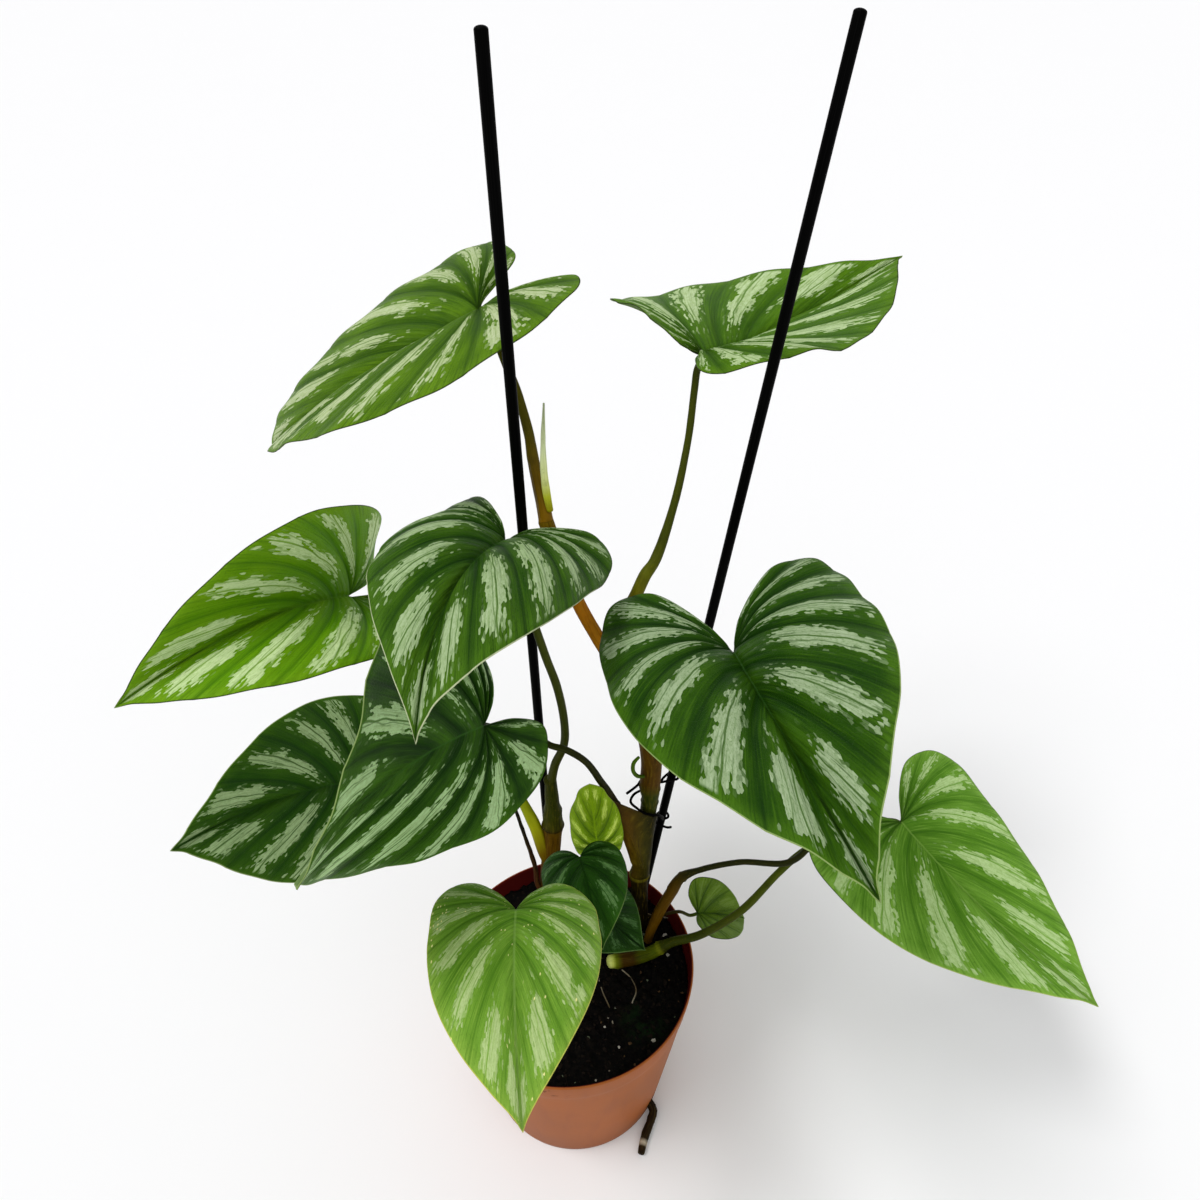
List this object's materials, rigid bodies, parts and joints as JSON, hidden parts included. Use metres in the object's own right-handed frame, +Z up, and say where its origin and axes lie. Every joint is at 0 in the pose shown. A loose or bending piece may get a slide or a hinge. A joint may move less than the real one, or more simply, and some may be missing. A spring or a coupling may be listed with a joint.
{
  "type": "potted philodendron mamei",
  "caption": "Young climbing aroid with heart-shaped silver-marked leaves on long petioles, tied to two thin stakes in a round terracotta-coloured nursery pot.",
  "frame": {"origin": "centre of the pot's flat base, on the surface that it stands on", "axes": "+Z up along the pot's axis, -Y towards the viewer of the picture, +X to the viewer's right"},
  "size_m": [0.3678, 0.2879, 0.4813],
  "materials": {
    "pot": "terracotta-coloured thin plastic, satin",
    "soil": "moist dark potting mix with light bits",
    "stake": "black plastic coating",
    "tie": "black plastic-coated wire",
    "stem": "olive stem with brown sheath remains",
    "petiole": "smooth olive-green petiole",
    "shoot": "pale rolled new leaf",
    "root": "brown root",
    "blade_deep": "deep green leaf with silver-green patches, satin",
    "blade_mid": "mid green leaf with silver-green patches, satin",
    "blade_light": "light green leaf with silver-green patches, satin",
    "blade_bright": "bright yellow-green young leaf, satin"
  },
  "bodies": {
    "root": {"pot": "pot", "soil": "soil", "stake_left": "stake", "stake_right": "stake", "tie_right": "tie", "stem_main": "stem", "stem_left": "stem", "stem_low": "stem", "new_leaf": "shoot", "bract": "petiole", "root_left": "root", "root_drain": "root", "petiole_top_left": "petiole", "petiole_top_right": "petiole", "petiole_left": "petiole", "petiole_centre": "petiole", "petiole_big_right": "petiole", "petiole_far_right": "petiole", "petiole_front": "petiole", "petiole_low_left_front": "petiole", "petiole_low_left_back": "petiole", "petiole_small_dark": "petiole", "petiole_small_bright": "petiole", "petiole_small_round": "petiole", "petiole_small_corner": "petiole", "blade_top_left": "blade_mid", "blade_top_right": "blade_mid", "blade_left": "blade_mid", "blade_centre": "blade_deep", "blade_big_right": "blade_deep", "blade_far_right": "blade_light", "blade_front": "blade_light", "blade_low_left_front": "blade_deep", "blade_low_left_back": "blade_deep", "blade_small_dark": "blade_deep", "blade_small_bright": "blade_bright", "blade_small_round": "blade_mid", "blade_small_corner": "blade_deep"}
  },
  "joints": []
}
